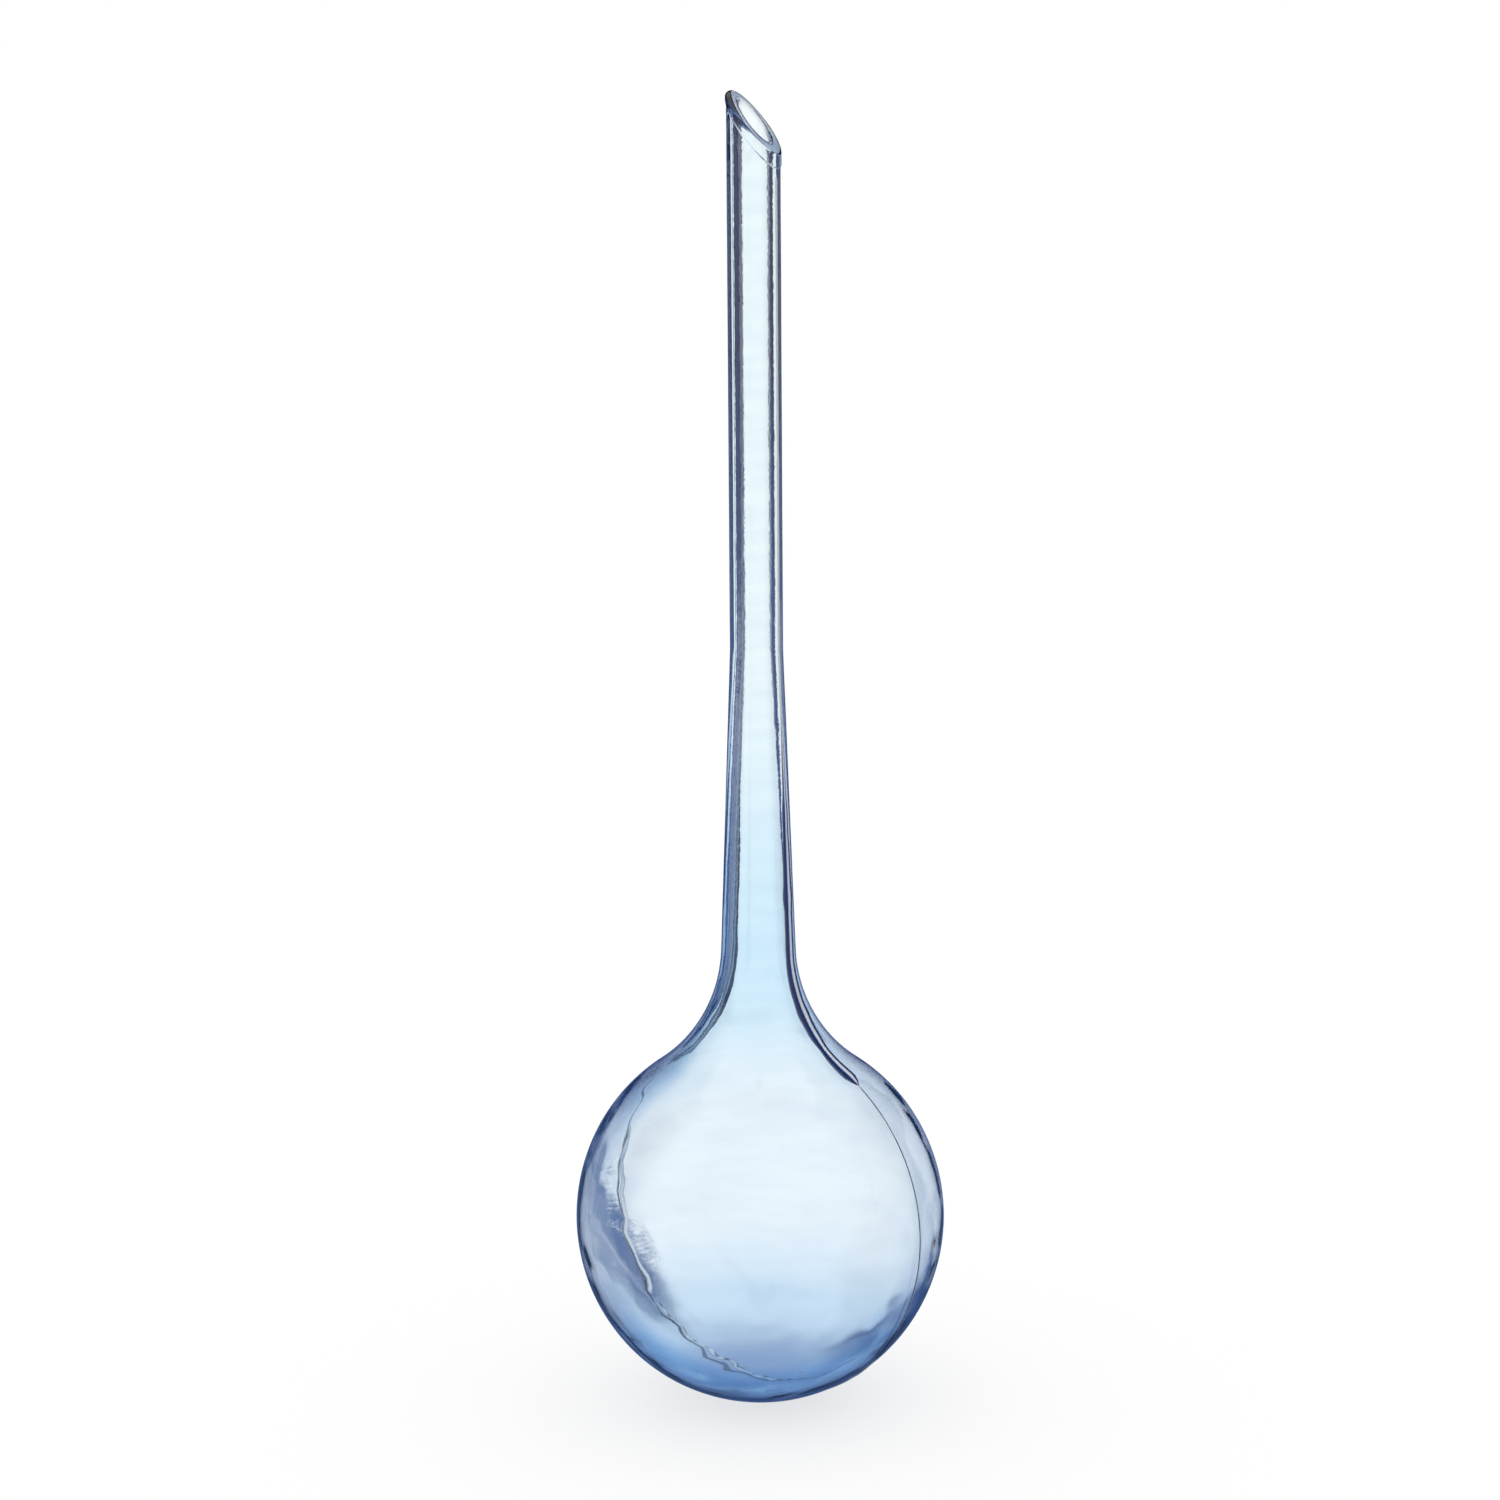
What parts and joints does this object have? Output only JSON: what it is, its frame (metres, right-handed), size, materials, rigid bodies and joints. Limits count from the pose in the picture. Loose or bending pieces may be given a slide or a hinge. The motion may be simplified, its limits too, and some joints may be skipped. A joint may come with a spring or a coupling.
{
  "type": "watering globe",
  "caption": "Hollow clear blue plastic globe with a flared neck and a long straight stem cut on a slant, pushed into soil to water a plant slowly.",
  "frame": {"origin": "on the stem's axis at the soil line, where the straight stem meets its taper", "axes": "+Z along the stem from the globe towards the slanted tip, as the picture shows it; the mould's parting plane is XZ; -X is the low side of the slanted tip"},
  "size_m": [0.0752, 0.075, 0.2642],
  "materials": {
    "clear_blue_plastic": "clear blown plastic with a pale blue tint, glossy, faintly rippled",
    "weld_plastic": "the same clear blue plastic, thicker along the weld lines"
  },
  "bodies": {
    "root": {"front_half_shell": "clear_blue_plastic", "rear_half_shell": "clear_blue_plastic", "tip_lip": "clear_blue_plastic", "stem_weld_left": "weld_plastic", "stem_weld_right": "weld_plastic", "globe_seam_left": "weld_plastic", "globe_seam_right": "weld_plastic", "base_weld": "weld_plastic"}
  },
  "joints": []
}
